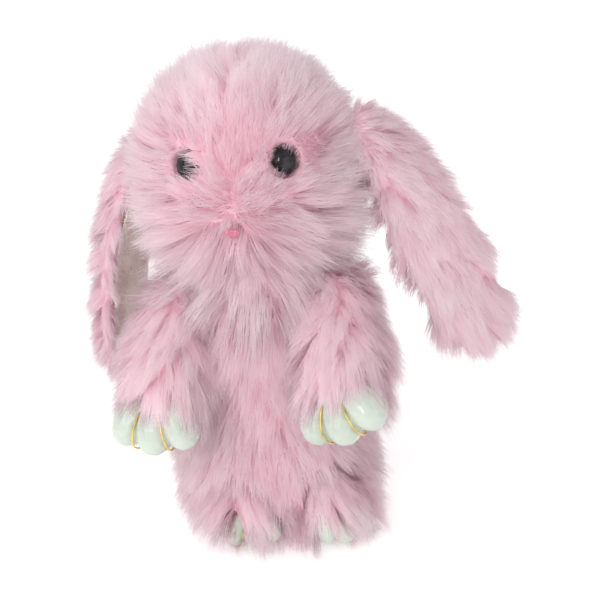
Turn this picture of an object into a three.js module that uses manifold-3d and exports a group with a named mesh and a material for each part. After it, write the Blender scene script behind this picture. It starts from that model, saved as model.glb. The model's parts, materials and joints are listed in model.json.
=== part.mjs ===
// A long-pile plush rabbit on a key chain, in millimetres.
// +Z is up, the face looks towards -Y, the rabbit's own left side is +X.
// The origin is the middle of the flat seat that it stands on.
//
// Soft pieces are drawn at the outer face of their pressed pile: a backing cloth and
// its pile make one shell, and the fibre filling inside it is a separate piece.
import * as THREE from "three";
import { mergeVertices } from "three/addons/utils/BufferGeometryUtils.js";
import Module from "manifold-3d";

const wasm = await Module();
wasm.setup();

// ---------- driving dimensions ----------
const GAP = 0.4; // between neighbouring pieces
const PILE = 7; // backing cloth and pressed pile together

const HEAD = { centre: [0, 0, 130], radius: 31.5 };
const NECK = { centre: [0, 0, 92], radius: 19.5 }; // ball that the head rolls on
const BODY_DEPTH = 0.9; // front-to-back size as a share of the width
const SEAT_RADIUS = 19;
const BODY_OUTLINE = [ // radius, height
  [SEAT_RADIUS, 0],
  [27.5, 5],
  [31.5, 16],
  [32, 30],
  [29.5, 48],
  [25.5, 66],
  [22.5, 80],
  [21.5, 88],
];

const FILLING_OUTLINE = [[0, 8], [18, 8], [20.5, 17], [21.3, 30], [19.5, 48], [13.5, 64], [12.5, 78], [0, 78]];
const FILLING_FRONT = -2; // below the hips the filling stays behind the legs
const LEG_ROOM_TOP = 31;

const EAR = {
  ball: 6.5,
  halfWidth: 12.5, halfThickness: 5.5, backing: 2.2, lining: 1.3,
};
const EAR_STYLES = [
  // side, hinge as [outwards, back, up], points of the centre line as [outwards, down] from it,
  // and how far the blade is turned
  { name: "left", side: 1, hinge: [29, 4, 141], line: [[0, 0], [12.4, 9], [29.5, 44], [46, 82]], turn: 62 },
  { name: "right", side: -1, hinge: [28, 13, 134],
    line: [[0, 0], [9.4, 8], [16.8, 31], [21.5, 54], [25.5, 84]], turn: -24 },
];

const EYE = { towards: [0.51, -0.816, 0.272], dome: 4.6, base: 27, shank: 1.5, shankEnd: 20.5 };
const WASHER = { inner: 1.9, outer: 4.8, thickness: 1.1, at: 22.1 };
const NOSE = { towards: [-0.08, -0.908, -0.41], width: 5.2, height: 4, base: 29.4, thickness: 2.8 };
const MOUTH = { towards: [-0.07, -0.83, -0.553], drop: 4, spread: 3.2, thread: 0.45, base: 32.5 };

// room is the radius that the swinging limb is given in the body
const ARM = { ball: 9, middle: 10.8, wrist: 8.6, length: 33, room: 11.5 };
const LEG = { ball: 8.5, middle: 9, wrist: 7.6, length: 12, room: 11.6 };
// The toes fan out from a root behind the wrist.
const PAW = {
  fan: 29, root: -8, reach: 15.4, toe: [6.6, 7.6, 9.8], palm: [11.5, 6, 8.5], neck: 5.2, wall: 1.6, line: 0.38,
};
const FOOT_SCALE = 0.66; // a foot is a smaller casting of the paw
const LIMBS = [
  // shape, hinge, pointing direction, direction of the toes' row, swing in degrees
  { name: "arm_left", end: "paw_left", shape: ARM, scale: 1, hinge: [26, -9, 85],
    towards: [0.04, -0.79, -0.61], row: [0.86, -0.15, 0.48], swing: [-70, 6] },
  { name: "arm_right", end: "paw_right", shape: ARM, scale: 1, hinge: [-26, -9, 84],
    towards: [-0.15, -0.74, -0.655], row: [0.85, -0.4, -0.1], swing: [-70, 6] },
  { name: "leg_left", end: "foot_left", shape: LEG, scale: FOOT_SCALE, hinge: [18, -12, 16],
    towards: [0.3, -0.83, -0.47], row: [0.94, 0.3, 0], swing: [-35, 4] },
  { name: "leg_right", end: "foot_right", shape: LEG, scale: FOOT_SCALE, hinge: [-9.5, -13, 16],
    towards: [0.12, -0.87, -0.47], row: [0.99, 0.1, 0], swing: [-35, 4] },
];

const TAIL = { centre: [0, 30.4, 19], radius: 8.5 };

const CHAIN_Y = 41; // the chain hangs behind the back
const STRAP = { centreZ: 124, from: 21.5, to: 44, height: 7.4, width: 4.4, thickness: 1.3 };
const JUMP_RING = { radius: 6.5, wire: 0.9 };
const LINK = { radius: 4, wire: 0.8 };
const SPLIT_RING = { radius: 12.5, wide: 1.6, turnWidth: 1.1, pitch: 1.5, turns: 1.9 };
const SWIVEL = { radius: 3.7, wire: 0.9, stem: 1.2, disc: 2.2 };
const CLASP = { collar: 3.5, wire: 1.8, cheek: 1, slot: 2.3, pin: 0.8, pivot: [5.6, -5.4] };

// ---------- materials ----------
function material(color, roughness, metalness = 0) {
  return new THREE.MeshStandardMaterial({ color, roughness, metalness });
}
const materials = {
  pinkFur: () => material(0xedbdcd, 0.95),
  creamCloth: () => material(0xe9dfc6, 0.85),
  filling: () => material(0xf4f1ec, 1),
  blackPlastic: () => material(0x0b0a0c, 0.08),
  clearWasher: () => material(0xd9d9d6, 0.4),
  nosePink: () => material(0xc8647f, 0.7),
  whitePlastic: () => material(0xe4ede4, 0.18),
  goldLine: () => material(0xc9a227, 0.3, 1),
  pinkWebbing: () => material(0xd98fa6, 0.9),
  goldMetal: () => material(0xd8b25a, 0.25, 1),
  springSteel: () => material(0xb9bbbd, 0.3, 1),
};

// ---------- solids and meshes ----------
function facesOutward(index, position) {
  let volume = 0;
  for (let i = 0; i < index.length; i += 3) {
    const [a, b, c] = [0, 1, 2].map((k) => new THREE.Vector3().fromBufferAttribute(position, index[i + k]));
    volume += a.dot(b.cross(c));
  }
  return volume > 0;
}

// A three.js geometry as a solid: shared corners are merged and flat triangles dropped.
function toSolid(geometry) {
  const bare = geometry.clone();
  bare.deleteAttribute("normal");
  bare.deleteAttribute("uv");
  const merged = mergeVertices(bare, 1e-4);
  const triangles = [];
  const index = merged.index.array;
  for (let i = 0; i < index.length; i += 3) {
    const [a, b, c] = [index[i], index[i + 1], index[i + 2]];
    if (a !== b && b !== c && c !== a) triangles.push(a, b, c);
  }
  if (!facesOutward(triangles, merged.attributes.position)) triangles.reverse();
  return new wasm.Manifold(new wasm.Mesh({
    numProp: 3,
    vertProperties: new Float32Array(merged.attributes.position.array),
    triVerts: new Uint32Array(triangles),
  }));
}

function toGeometry(solid) {
  const mesh = solid.getMesh();
  const geometry = new THREE.BufferGeometry();
  geometry.setAttribute("position", new THREE.BufferAttribute(new Float32Array(mesh.vertProperties), 3));
  geometry.setIndex(new THREE.BufferAttribute(new Uint32Array(mesh.triVerts), 1));
  geometry.computeVertexNormals();
  return geometry;
}

function piece(name, solid, finish) {
  const mesh = new THREE.Mesh(toGeometry(solid), finish());
  mesh.name = name;
  return mesh;
}

function joined(solids) {
  return solids.reduce((whole, next) => whole.add(next));
}

function cutBy(solid, cutters) {
  return cutters.reduce((rest, cutter) => rest.subtract(cutter), solid);
}

// ---------- shapes ----------
function ellipsoid(centre, radii, around = 20, rings = 12) {
  const ball = new THREE.SphereGeometry(1, around, rings).rotateX(Math.PI / 2);
  return toSolid(ball.scale(...radii).translate(...centre));
}

function ball(centre, radius, around = 20, rings = 12) {
  return ellipsoid(centre, [radius, radius, radius], around, rings);
}

// A turned shape about Z: the outline holds [radius, height] points.
function turned(outline, around = 20) {
  const points = outline.map(([r, z]) => new THREE.Vector2(r, z));
  return new THREE.LatheGeometry(points, around).rotateX(Math.PI / 2);
}

function box(low, high) {
  const size = high.map((value, axis) => value - low[axis]);
  const middle = high.map((value, axis) => (value + low[axis]) / 2);
  return toSolid(new THREE.BoxGeometry(...size).translate(...middle));
}

function rod(radius, from, to, sides = 12) {
  const [a, b] = [new THREE.Vector3(...from), new THREE.Vector3(...to)];
  const along = b.clone().sub(a);
  const cylinder = new THREE.CylinderGeometry(radius, radius, along.length(), sides);
  const turn = new THREE.Quaternion().setFromUnitVectors(new THREE.Vector3(0, 1, 0), along.normalize());
  return toSolid(cylinder.applyQuaternion(turn).translate(...a.add(b).multiplyScalar(0.5).toArray()));
}

// Moves each corner of a geometry to where rule(x, y, z) says.
function reshaped(geometry, rule) {
  const position = geometry.attributes.position;
  for (let i = 0; i < position.count; i += 1) {
    position.setXYZ(i, ...rule(position.getX(i), position.getY(i), position.getZ(i)));
  }
  return geometry;
}

// A round rod along a flat curve in the XY plane of its own frame, set in place by a matrix.
function bentRod(curve, radiusAt, steps, sides, place = new THREE.Matrix4()) {
  const straight = new THREE.CylinderGeometry(1, 1, 1, sides, steps);
  const bent = reshaped(straight, (x, y, z) => {
    const t = THREE.MathUtils.clamp(y + 0.5, 0, 1);
    const at = curve.getPointAt(t);
    const tangent = curve.getTangentAt(t);
    const radius = radiusAt(t);
    return [at.x - tangent.y * x * radius, at.y + tangent.x * x * radius, z * radius];
  });
  return toSolid(bent.applyMatrix4(place));
}

function torus(centre, radius, wire, plane, around = 20, sides = 8) {
  const ring = new THREE.TorusGeometry(radius, wire, sides, around);
  if (plane === "XZ") ring.rotateX(Math.PI / 2);
  if (plane === "YZ") ring.rotateY(Math.PI / 2);
  return toSolid(ring.translate(...centre));
}

function fromHead(direction, distance) {
  const unit = new THREE.Vector3(...direction).normalize();
  return new THREE.Vector3(...HEAD.centre).addScaledVector(unit, distance).toArray();
}

// A frame whose Z runs along a direction and whose X leans to a side direction.
function frameAlong(origin, direction, side) {
  const z = new THREE.Vector3(...direction).normalize();
  const x = new THREE.Vector3(...side);
  x.addScaledVector(z, -x.dot(z)).normalize();
  const y = new THREE.Vector3().crossVectors(z, x);
  return new THREE.Matrix4().makeBasis(x, y, z).setPosition(...origin);
}

// ---------- limbs: sleeve, filling, hard paw or foot, and its gold lines ----------
function limbOutline(shape, inset) {
  const [root, middle, end] = [shape.ball, shape.middle, shape.wrist].map((r) => r - inset);
  const outline = [];
  for (let step = 0; step <= 5; step += 1) {
    const angle = (-90 + step * 18) * THREE.MathUtils.DEG2RAD;
    outline.push([Math.max(root * Math.cos(angle), 0), root * Math.sin(angle)]);
  }
  outline.push([middle, shape.length * 0.55], [end, shape.length - inset * 0.4], [0, shape.length - inset * 0.4]);
  outline[0][0] = 0;
  return outline;
}

function sleeve(shape) {
  const outer = toSolid(turned(limbOutline(shape, 0), 12));
  const inner = toSolid(turned(limbOutline(shape, PILE * 0.62), 8));
  const mouth = rod(PAW.neck * (shape === LEG ? FOOT_SCALE : 1) + 2 * GAP, [0, 0, shape.length - 6], [0, 0, shape.length + 5], 8);
  return cutBy(outer, [inner, mouth]);
}

function sleeveFilling(shape) {
  const outline = limbOutline(shape, PILE * 0.62 + 2 * GAP);
  const neckTop = shape.length - 6.5;
  const filling = toSolid(turned(outline, 7));
  return filling.subtract(box([-20, -20, neckTop], [20, 20, shape.length + 9]));
}

function fanAngle(share) {
  return share * PAW.fan * THREE.MathUtils.DEG2RAD;
}

// One toe, laid out from the root of the fan.
function toe(side) {
  const shape = new THREE.SphereGeometry(1, 12, 8).rotateX(Math.PI / 2).scale(...PAW.toe);
  return toSolid(shape.translate(0, 0, PAW.reach).rotateY(fanAngle(side)).translate(0, 0, PAW.root));
}

// The valley between two toes, from the back of the paw over the tips to the palm.
function toeLine(side) {
  const valley = Math.sqrt(1 - (PAW.reach * Math.sin(fanAngle(0.5)) / PAW.toe[0]) ** 2);
  const radii = [PAW.toe[1] * valley + 0.3, PAW.toe[2] * valley + 0.3];
  const curve = new THREE.EllipseCurve(0, PAW.reach, ...radii, -0.08 * Math.PI, 0.85 * Math.PI);
  const upright = new THREE.Matrix4().makeBasis(
    new THREE.Vector3(0, 1, 0), new THREE.Vector3(0, 0, 1), new THREE.Vector3(1, 0, 0),
  );
  const place = new THREE.Matrix4().makeRotationY(fanAngle(side * 0.5)).setPosition(0, 0, PAW.root);
  return { curve, place: place.multiply(upright) };
}

function toeRod(side, radius, sides) {
  const { curve, place } = toeLine(side);
  return bentRod(curve, () => radius, 10, sides, place);
}

// A hollow casting with three toes and a narrow neck that the sleeve is tied around.
function paw() {
  const [, thick, long] = PAW.toe;
  const toes = [-1, 0, 1].map(toe);
  const palm = ellipsoid([0, 0, 4], PAW.palm, 10, 6);
  const neck = rod(PAW.neck, [0, 0, -6], [0, 0, 4], 10);
  const behind = box([-30, -30, -30], [30, 30, 0]);
  const hollow = ellipsoid([0, 0, 5.5], [9, thick - PAW.wall - 2.2, long - 3.6], 8, 6);
  const bore = rod(PAW.neck - PAW.wall, [0, 0, -7], [0, 0, 5], 8);
  const front = joined([...toes, palm]).subtract(behind);
  const channels = [-1, 1].map((side) => toeRod(side, PAW.line + 0.32, 5));
  return cutBy(front.add(neck), [hollow, bore, ...channels]);
}

function limb({ name, end, shape, scale, hinge, towards, row }) {
  const group = new THREE.Group();
  group.applyMatrix4(frameAlong(hinge, towards, row));
  group.add(piece(`${name}_fur`, sleeve(shape), materials.pinkFur));
  group.add(piece(`${name}_filling`, sleeveFilling(shape), materials.filling));
  const tip = new THREE.Group();
  tip.position.z = shape.length + GAP + 0.5 * scale;
  tip.scale.setScalar(scale);
  tip.add(piece(end, paw(), materials.whitePlastic));
  for (const [label, side] of [["inner_line", -1], ["outer_line", 1]]) {
    tip.add(piece(`${end}_${label}`, toeRod(side, PAW.line, 5), materials.goldLine));
  }
  group.add(tip);
  return group;
}

// The room that a limb needs in the body, over its whole swing about the X direction.
function swingRoom({ shape, hinge, towards, swing }) {
  const angles = [swing[0], swing[0] / 2, 0, swing[1]];
  const rooms = angles.map((degrees) => {
    const direction = new THREE.Vector3(...towards).normalize();
    direction.applyAxisAngle(new THREE.Vector3(1, 0, 0), degrees * THREE.MathUtils.DEG2RAD);
    const tip = new THREE.Vector3(...hinge).addScaledVector(direction, 40).toArray();
    return rod(shape.room, hinge, tip, 8);
  });
  return joined([ball(hinge, shape.room, 8, 6), ...rooms]);
}

// ---------- ears ----------
// A blade with a round root, built straight and then laid along its drooping centre line.
// Inside face at -across; the cloth-lined face is flat.
function earBlade(style, widthShare, low, high, start, end, around, rings) {
  const outline = [[0, 0]];
  for (let step = 1; step < rings; step += 1) outline.push([1, step / rings]);
  outline.push([0, 1]);
  const straight = turned(outline, around);
  const line = new THREE.CatmullRomCurve3(style.line.map(([out, down]) => new THREE.Vector3(out, 0, -down)));
  const round = (value, power) => (1 - value ** power) ** (1 / power);
  return toSolid(reshaped(straight, (x, y, z) => {
    const t = start + (end - start) * z;
    const root = Math.min(t / 0.16, 1);
    const blunt = t > 0.72 ? round((t - 0.72) / 0.285, 2.4) : 1;
    const foot = round(Math.max(1 - t / 0.07, 0), 2);
    const width = foot * blunt * THREE.MathUtils.lerp(EAR.ball, EAR.halfWidth, Math.sin(root * Math.PI / 2) * Math.min(0.45 + t, 1));
    const thickness = foot * blunt * THREE.MathUtils.lerp(EAR.ball, EAR.halfThickness, root);
    const flat = THREE.MathUtils.lerp(-EAR.ball, low, root);
    const thin = THREE.MathUtils.clamp(x * thickness, flat, high);
    const wide = y * width * widthShare;
    const at = line.getPointAt(t);
    const tangent = line.getTangentAt(t);
    const outward = new THREE.Vector3(-tangent.z, 0, tangent.x);
    const turn = style.turn * style.side * Math.min(t / 0.4, 1) * THREE.MathUtils.DEG2RAD;
    const across = thin * Math.cos(turn) + wide * Math.sin(turn);
    const deep = wide * Math.cos(turn) - thin * Math.sin(turn);
    return [
      style.side * (style.hinge[0] + at.x + outward.x * across),
      style.hinge[1] + deep * style.side,
      style.hinge[2] + at.z + outward.z * across,
    ];
  }));
}

function ear(style) {
  const group = new THREE.Group();
  const fur = earBlade(style, 1, -EAR.backing, EAR.ball, 0, 1, 12, 15);
  const liningTop = -EAR.backing - GAP;
  const lining = earBlade(style, 0.84, liningTop - EAR.lining, liningTop, 0.2, 0.95, 10, 11);
  group.add(piece(`ear_${style.name}_fur`, fur, materials.pinkFur));
  group.add(piece(`ear_${style.name}_lining`, lining, materials.creamCloth));
  return group;
}

// ---------- head ----------
function eyeProfile() {
  const outline = [[0, EYE.shankEnd - EYE.base], [EYE.shank, EYE.shankEnd - EYE.base], [EYE.shank, 0]];
  for (let step = 0; step <= 5; step += 1) {
    const angle = step * 18 * THREE.MathUtils.DEG2RAD;
    outline.push([step === 5 ? 0 : EYE.dome * Math.cos(angle), 0.4 + EYE.dome * 0.86 * Math.sin(angle)]);
  }
  outline.splice(3, 0, [EYE.dome, 0]);
  return outline;
}

function eyeDirection(side) {
  return [EYE.towards[0] * side, EYE.towards[1], EYE.towards[2]];
}

function headCutters(forFilling) {
  const cutters = [];
  for (const side of [-1, 1]) {
    const towards = eyeDirection(side);
    const seat = forFilling ? WASHER.at - WASHER.thickness : EYE.base - GAP;
    const seatRadius = forFilling ? WASHER.outer + GAP : EYE.dome + GAP;
    cutters.push(rod(seatRadius, fromHead(towards, seat - GAP), fromHead(towards, 45), 10));
    cutters.push(rod(EYE.shank + GAP, fromHead(towards, EYE.shankEnd - GAP), fromHead(towards, 45), 6));
  }
  for (const { side, hinge } of EAR_STYLES) {
    cutters.push(ball([side * hinge[0], hinge[1], hinge[2]], EAR.ball + 1.2, 10, 6));
  }
  cutters.push(ball(NECK.centre, NECK.radius + (forFilling ? 2 : 1.4), 14, 9));
  const half = [STRAP.width / 2 + GAP, STRAP.height / 2 + GAP];
  cutters.push(box([-half[0], STRAP.from - GAP, STRAP.centreZ - half[1]], [half[0], 60, STRAP.centreZ + half[1]]));
  return cutters;
}

function headShell() {
  const outer = ball(HEAD.centre, HEAD.radius, 20, 12);
  const inner = ball(HEAD.centre, HEAD.radius - PILE, 14, 8);
  const nosePocket = rod(NOSE.width / 2 + 1, fromHead(NOSE.towards, NOSE.base - GAP), fromHead(NOSE.towards, 45), 8);
  return cutBy(outer, [inner, nosePocket, ...headCutters(false)]);
}

function headFilling() {
  const stuffing = ball(HEAD.centre, HEAD.radius - PILE - 1.2, 14, 8);
  return cutBy(stuffing, headCutters(true));
}

function eye(side) {
  const towards = eyeDirection(side);
  const place = frameAlong(fromHead(towards, EYE.base), towards, [1, 0, 0]);
  return toSolid(turned(eyeProfile(), 12).applyMatrix4(place));
}

function eyeWasher(side) {
  const towards = eyeDirection(side);
  const { inner, outer, thickness, at } = WASHER;
  const outline = [[inner, 0], [outer, 0], [outer, thickness], [inner, thickness], [inner, 0]];
  const place = frameAlong(fromHead(towards, at - thickness + GAP), towards, [1, 0, 0]);
  return toSolid(turned(outline, 10).applyMatrix4(place));
}

// A small padded triangle, wide side up.
function nose() {
  const outline = new THREE.Shape();
  outline.moveTo(-NOSE.width / 2, NOSE.height * 0.32);
  outline.quadraticCurveTo(0, NOSE.height * 0.62, NOSE.width / 2, NOSE.height * 0.32);
  outline.quadraticCurveTo(NOSE.width * 0.42, -NOSE.height * 0.25, 0, -NOSE.height * 0.5);
  outline.quadraticCurveTo(-NOSE.width * 0.42, -NOSE.height * 0.25, -NOSE.width / 2, NOSE.height * 0.32);
  const pad = new THREE.ExtrudeGeometry(outline, {
    depth: NOSE.thickness - 0.8, curveSegments: 5, bevelEnabled: true, bevelSegments: 2,
    bevelThickness: 0.4, bevelSize: 0.4, bevelOffset: -0.4,
  });
  return toSolid(pad.applyMatrix4(frameAlong(fromHead(NOSE.towards, NOSE.base), NOSE.towards, [1, 0, 0])));
}

// One upright stitch under the nose that opens into two short ones.
function mouthStitch() {
  const place = frameAlong(fromHead(MOUTH.towards, MOUTH.base), MOUTH.towards, [1, 0, 0]);
  const upright = new THREE.LineCurve(new THREE.Vector2(0, MOUTH.drop / 2), new THREE.Vector2(0, -MOUTH.drop / 2));
  const smile = new THREE.QuadraticBezierCurve(
    new THREE.Vector2(-MOUTH.spread, -MOUTH.drop * 0.8),
    new THREE.Vector2(0, -MOUTH.drop * 0.1),
    new THREE.Vector2(MOUTH.spread, -MOUTH.drop * 0.8),
  );
  const thread = () => MOUTH.thread;
  return bentRod(upright, thread, 2, 5, place).add(bentRod(smile, thread, 6, 5, place));
}

// ---------- body ----------
function bodyOutline(inset) {
  const outline = BODY_OUTLINE.map(([r, z]) => [r - inset, Math.min(Math.max(z, inset), 88)]);
  return [[0, outline[0][1]], ...outline, [0, outline.at(-1)[1]]];
}

function bodySolid(inset, around) {
  return toSolid(turned(bodyOutline(inset), around).scale(1, BODY_DEPTH, 1));
}

function bodyShell() {
  const rooms = LIMBS.map((one) => swingRoom(one));
  return cutBy(bodySolid(0, 20), [
    bodySolid(PILE, 12),
    ball(NECK.centre, NECK.radius + 1.3, 14, 9),
    ball(TAIL.centre, TAIL.radius + GAP, 12, 7),
    ...rooms,
  ]);
}

function bodyFilling() {
  const whole = toSolid(turned(FILLING_OUTLINE, 14).scale(1, BODY_DEPTH, 1));
  const legRoom = box([-40, -40, 0], [40, FILLING_FRONT, LEG_ROOM_TOP]);
  return cutBy(whole, [ball(NECK.centre, NECK.radius + 1.6, 14, 8), legRoom]);
}

// ---------- key chain ----------
function strap() {
  const { centreZ, from, to, height, width, thickness } = STRAP;
  const stadium = (inset) => {
    const path = new THREE.Shape();
    const radius = height / 2 - inset;
    path.absarc(to - height / 2, 0, radius, -Math.PI / 2, Math.PI / 2);
    path.absarc(from + height / 2, 0, radius, Math.PI / 2, Math.PI * 1.5);
    path.closePath();
    return path;
  };
  const outline = stadium(0);
  outline.holes.push(stadium(thickness));
  const loop = new THREE.ExtrudeGeometry(outline, { depth: width, bevelEnabled: false, curveSegments: 6 });
  const place = new THREE.Matrix4().makeBasis(
    new THREE.Vector3(0, 1, 0), new THREE.Vector3(0, 0, 1), new THREE.Vector3(1, 0, 0),
  ).setPosition(-width / 2, 0, centreZ);
  return toSolid(loop.applyMatrix4(place));
}

const jumpTop = STRAP.centreZ - STRAP.height / 2 + STRAP.thickness + JUMP_RING.wire + 0.8;
const jumpBottom = jumpTop - 2 * JUMP_RING.radius;
const linkBottoms = [];
const linkCentres = [];
for (let number = 0; number < 3; number += 1) {
  const above = number === 0 ? jumpBottom : linkBottoms[number - 1];
  const aboveWire = number === 0 ? JUMP_RING.wire : LINK.wire;
  const centre = above + aboveWire + LINK.wire + GAP - LINK.radius;
  linkCentres.push(centre);
  linkBottoms.push(centre - LINK.radius);
}
const ringCentre = linkBottoms[2] + LINK.wire + SPLIT_RING.wide / 2 + 0.7 - SPLIT_RING.radius;
const ringBottom = ringCentre - SPLIT_RING.radius;
const swivelCentre = ringBottom - 1.1;
const swivelBottom = swivelCentre - SWIVEL.radius;
const claspTop = swivelBottom - 5.4;

// A flat bar wound nearly twice round, its turns side by side.
function splitRing() {
  const { radius, wide, turnWidth, pitch, turns } = SPLIT_RING;
  const bar = new THREE.BoxGeometry(1, wide, turnWidth, 48, 1, 1);
  return toSolid(reshaped(bar, (x, y, z) => {
    const angle = Math.PI / 2 + 0.6 + x * turns * 2 * Math.PI;
    const r = radius + y;
    return [r * Math.cos(angle), CHAIN_Y + z + x * turns * pitch, ringCentre + r * Math.sin(angle)];
  }));
}

function swivelEye() {
  const eyeRing = torus([0, CHAIN_Y, swivelCentre], SWIVEL.radius, SWIVEL.wire, "YZ", 16, 6);
  const stem = rod(SWIVEL.stem, [0, CHAIN_Y, swivelBottom + 0.2], [0, CHAIN_Y, claspTop + 1.6], 12);
  const disc = rod(SWIVEL.disc, [0, CHAIN_Y, claspTop + 2.8], [0, CHAIN_Y, claspTop + 1.6], 12);
  return joined([eyeRing, stem, disc]);
}

// The clasp lies in the XZ plane; its parts are placed from the foot of the collar.
function claspPlace(x, z) {
  return [x, CHAIN_Y, claspTop + z];
}

const claspPlane = new THREE.Matrix4().makeBasis(
  new THREE.Vector3(1, 0, 0), new THREE.Vector3(0, 0, 1), new THREE.Vector3(0, -1, 0),
).setPosition(0, CHAIN_Y, claspTop);

function claspBody() {
  const collar = rod(CLASP.collar, claspPlace(0, 4.3), claspPlace(0, -1.6), 16);
  const hookLine = new THREE.SplineCurve([
    [0, 0], [-3.6, -3.4], [-6.3, -9], [-6.4, -16], [-3.4, -21.8], [1.6, -23.4], [5.6, -20.4], [6.2, -16.6],
  ].map(([x, z]) => new THREE.Vector2(x, z)));
  const hook = bentRod(hookLine, (t) => CLASP.wire * (1.15 - 0.35 * t), 16, 8, claspPlane);
  const [px, pz] = CLASP.pivot;
  const bridge = box([0, CHAIN_Y - 3.3, claspTop - 3.4], [px + 1.2, CHAIN_Y + 3.3, claspTop - 0.4]);
  const cheeks = rod(2.1, [px, CHAIN_Y - 3.3, claspTop + pz], [px, CHAIN_Y + 3.3, claspTop + pz], 14);
  const shoulder = box([px - 2.1, CHAIN_Y - 3.3, claspTop + pz], [px + 2.1, CHAIN_Y + 3.3, claspTop - 2]);
  const slot = box([px - 4, CHAIN_Y - CLASP.slot, claspTop + pz - 3.6], [px + 6, CHAIN_Y + CLASP.slot, claspTop + pz + 2.6]);
  const pinHole = rod(CLASP.pin + 0.35, [px, CHAIN_Y - 5, claspTop + pz], [px, CHAIN_Y + 5, claspTop + pz], 10);
  const stemBore = rod(SWIVEL.stem + GAP, claspPlace(0, 6), claspPlace(0, 1), 12);
  const discRoom = rod(SWIVEL.disc + GAP, claspPlace(0, 3.2), claspPlace(0, 1.2), 14);
  return cutBy(joined([collar, hook, bridge, shoulder, cheeks]), [slot, pinHole, stemBore, discRoom]);
}

// The sprung gate: a round hub on the pin, a bar down to the nose, and a thumb tab.
function claspTrigger() {
  const [px, pz] = CLASP.pivot;
  const [back, front] = [CHAIN_Y - 1.9, CHAIN_Y + 0.5];
  const hub = rod(1.9, [px, back, claspTop + pz], [px, front, claspTop + pz], 14);
  const bar = box([px - 1.1, back, claspTop - 15.8], [px + 1.1, front, claspTop + pz]);
  const tab = box([px, back, claspTop + pz - 1.2], [px + 4.6, front, claspTop + pz + 1]);
  const pinHole = rod(CLASP.pin + 0.35, [px, back - 2, claspTop + pz], [px, front + 2, claspTop + pz], 10);
  return joined([hub, bar, tab]).subtract(pinHole);
}

function claspPin() {
  const [px, pz] = CLASP.pivot;
  return rod(CLASP.pin, [px, CHAIN_Y - 3.3, claspTop + pz], [px, CHAIN_Y + 3.3, claspTop + pz], 10);
}

// Two and a half turns of fine wire round the pin, beside the hub.
function claspSpring() {
  const wire = 0.2;
  const turns = 2.5;
  const straight = new THREE.CylinderGeometry(wire, wire, 1, 4, 22);
  const [px, pz] = CLASP.pivot;
  return toSolid(reshaped(straight, (x, y, z) => {
    const angle = y * turns * 2 * Math.PI;
    const r = 1.5 + x;
    return [px + r * Math.cos(angle), CHAIN_Y + 1.42 + y * turns * 0.5 + z, claspTop + pz + r * Math.sin(angle)];
  }));
}

// ---------- the whole rabbit ----------
const rabbit = new THREE.Group();

rabbit.add(piece("head_fur", headShell(), materials.pinkFur));
rabbit.add(piece("head_filling", headFilling(), materials.filling));
for (const [name, side] of [["left", 1], ["right", -1]]) {
  rabbit.add(piece(`eye_${name}`, eye(side), materials.blackPlastic));
  rabbit.add(piece(`eye_washer_${name}`, eyeWasher(side), materials.clearWasher));
}
rabbit.add(piece("nose", nose(), materials.nosePink));
rabbit.add(piece("mouth_stitch", mouthStitch(), materials.nosePink));
for (const style of EAR_STYLES) rabbit.add(ear(style));

rabbit.add(piece("neck_filling", ball(NECK.centre, NECK.radius, 14, 9), materials.filling));
rabbit.add(piece("body_fur", bodyShell(), materials.pinkFur));
rabbit.add(piece("body_filling", bodyFilling(), materials.filling));
rabbit.add(piece("tail", ball(TAIL.centre, TAIL.radius, 12, 8), materials.pinkFur));
for (const one of LIMBS) rabbit.add(limb(one));

rabbit.add(piece("hanging_strap", strap(), materials.pinkWebbing));
const jumpCentre = [0, CHAIN_Y, jumpTop - JUMP_RING.radius];
rabbit.add(piece("jump_ring", torus(jumpCentre, JUMP_RING.radius, JUMP_RING.wire, "XZ", 20, 6), materials.goldMetal));
linkCentres.forEach((z, number) => {
  const plane = number % 2 === 0 ? "YZ" : "XZ";
  const link = torus([0, CHAIN_Y, z], LINK.radius, LINK.wire, plane, 16, 6);
  rabbit.add(piece(`chain_link_${number + 1}`, link, materials.goldMetal));
});
rabbit.add(piece("split_ring", splitRing(), materials.goldMetal));
rabbit.add(piece("swivel_eye", swivelEye(), materials.goldMetal));
rabbit.add(piece("clasp_body", claspBody(), materials.goldMetal));
rabbit.add(piece("clasp_trigger", claspTrigger(), materials.goldMetal));
rabbit.add(piece("clasp_pin", claspPin(), materials.goldMetal));
rabbit.add(piece("clasp_spring", claspSpring(), materials.springSteel));

export default rabbit;
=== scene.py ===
import json
from math import cos, radians, sin

import bpy
import numpy as np
from mathutils import Matrix, Vector, kdtree
from mathutils.bvhtree import BVHTree


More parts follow.
